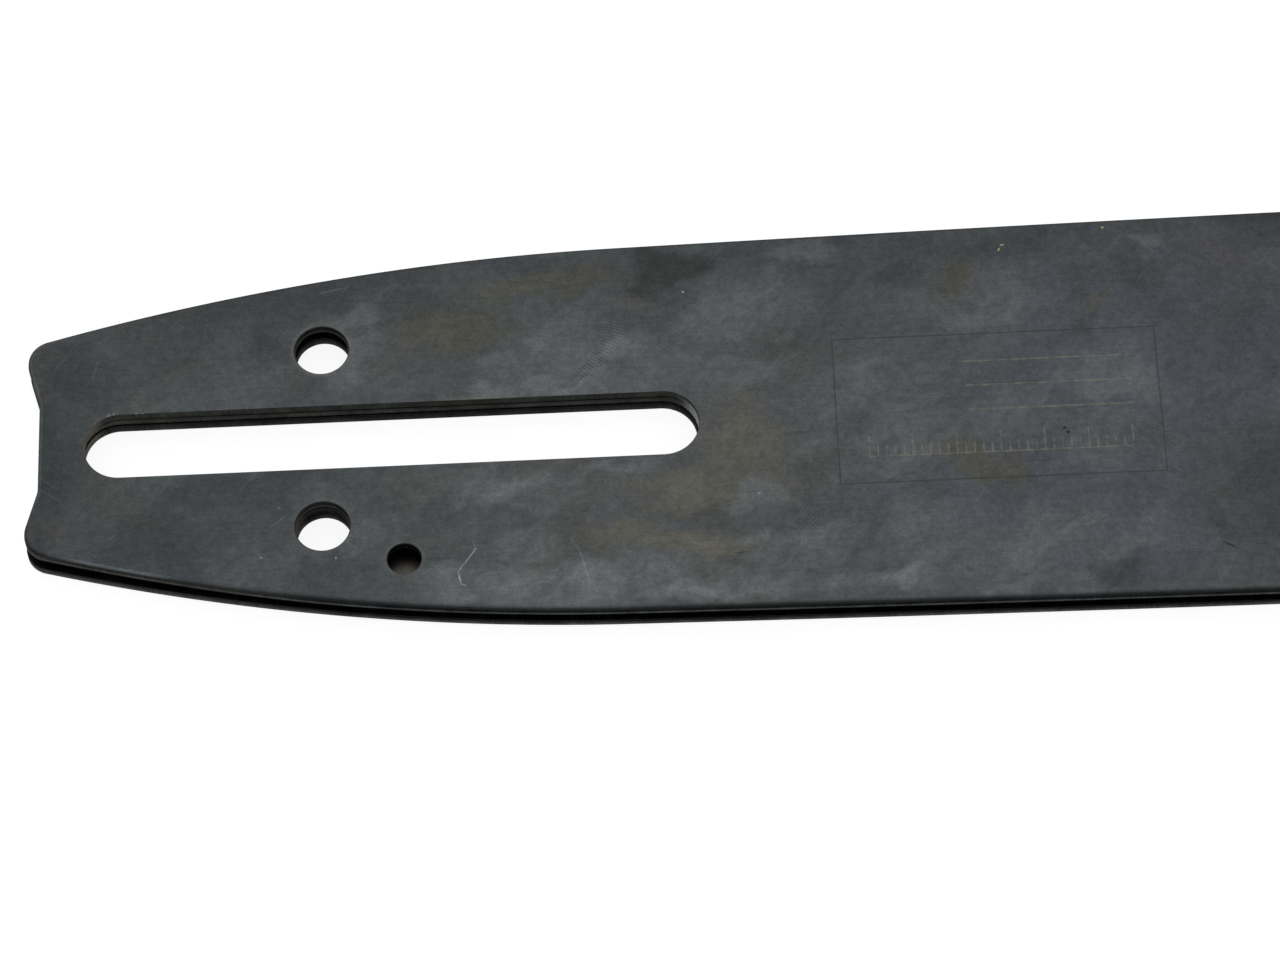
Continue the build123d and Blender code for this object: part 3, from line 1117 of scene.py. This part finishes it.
def background_rays(tree):
    """1 for rays that show the background: from the camera, from gloss and through glass."""
    path = add_node(tree, "LightPath", {})
    total = add_math(tree, "ADD", path.outputs["Is Camera Ray"], path.outputs["Is Glossy Ray"])
    total = add_math(tree, "ADD", total, path.outputs["Is Transmission Ray"])
    return add_math(tree, "MINIMUM", total, 1.0)


def add_floor():
    """White paper under the bar, which keeps a faint shadow."""
    floor_half = 4.0
    floor_drop = 0.2 * MM
    paper_tone = (0.8, 0.8, 0.8, 1)
    shadow_tone = (0.22, 0.22, 0.22, 1)
    glow_strength = 0.88
    mesh = bpy.data.meshes.new("floor")
    corners = [(-1, -1), (1, -1), (1, 1), (-1, 1)]
    mesh.from_pydata([(x * floor_half, y * floor_half, -floor_drop) for x, y in corners], [], [(0, 1, 2, 3)])
    floor = bpy.data.objects.new("floor", mesh)
    bpy.context.scene.collection.objects.link(floor)
    material = bpy.data.materials.new("white_paper")
    material.use_nodes = True
    tree = material.node_tree
    tree.nodes.clear()
    paper = add_node(tree, "BsdfDiffuse", {"Color": paper_tone})
    shadow = add_node(tree, "BsdfDiffuse", {"Color": shadow_tone})
    glow = add_node(tree, "Emission", {"Color": (1, 1, 1, 1), "Strength": glow_strength})
    white = add_node(tree, "AddShader", {0: shadow.outputs[0], 1: glow.outputs[0]})
    shown = add_node(tree, "MixShader", {0: background_rays(tree), 1: paper.outputs[0], 2: white.outputs[0]})
    output = add_node(tree, "OutputMaterial", {})
    tree.links.new(shown.outputs[0], output.inputs["Surface"])
    mesh.materials.append(material)


def add_world():
    """Even pale surroundings, white where they are seen."""
    fill = 0.75
    world = bpy.data.worlds.new("studio")
    world.use_nodes = True
    tree = world.node_tree
    background = tree.nodes["Background"]
    background.inputs["Color"].default_value = (1, 1, 1, 1)
    strength = add_math(tree, "MULTIPLY_ADD", background_rays(tree), 1 - fill, fill)
    tree.links.new(strength, background.inputs["Strength"])
    bpy.context.scene.world = world


def add_lamp(name, place, aim, size, power):
    """Square soft lamp that looks at a point and isn't seen itself."""
    data = bpy.data.lights.new(name, "AREA")
    data.size = size
    data.energy = power
    lamp = bpy.data.objects.new(name, data)
    lamp.location = place
    lamp.rotation_euler = (Vector(aim) - Vector(place)).to_track_quat("-Z", "Y").to_euler()
    lamp.visible_camera = False
    bpy.context.scene.collection.objects.link(lamp)


def add_camera():
    """Camera that sees the bar as the photograph does."""
    turn = Matrix.Rotation(CAMERA_YAW, 3, "Y") @ Matrix.Rotation(CAMERA_TILT, 3, "X")
    turn = turn @ Matrix.Rotation(CAMERA_ROLL, 3, "Z")
    data = bpy.data.cameras.new("camera")
    data.sensor_fit = "HORIZONTAL"
    data.sensor_width = SENSOR_WIDTH
    data.lens = FOCAL_PIXELS * SENSOR_WIDTH / IMAGE_WIDTH
    data.clip_start = 0.01
    data.clip_end = 50.0
    camera = bpy.data.objects.new("camera", data)
    place = (CAMERA_AIM + turn.col[2] * CAMERA_DISTANCE) * MM
    camera.matrix_world = Matrix.Translation(place) @ turn.to_4x4()
    bpy.context.scene.collection.objects.link(camera)
    bpy.context.scene.camera = camera


add_floor()
add_world()
add_lamp("key", KEY_PLACE, KEY_AIM, KEY_SIZE, KEY_POWER)
add_camera()
bpy.context.scene.view_settings.view_transform = "Standard"
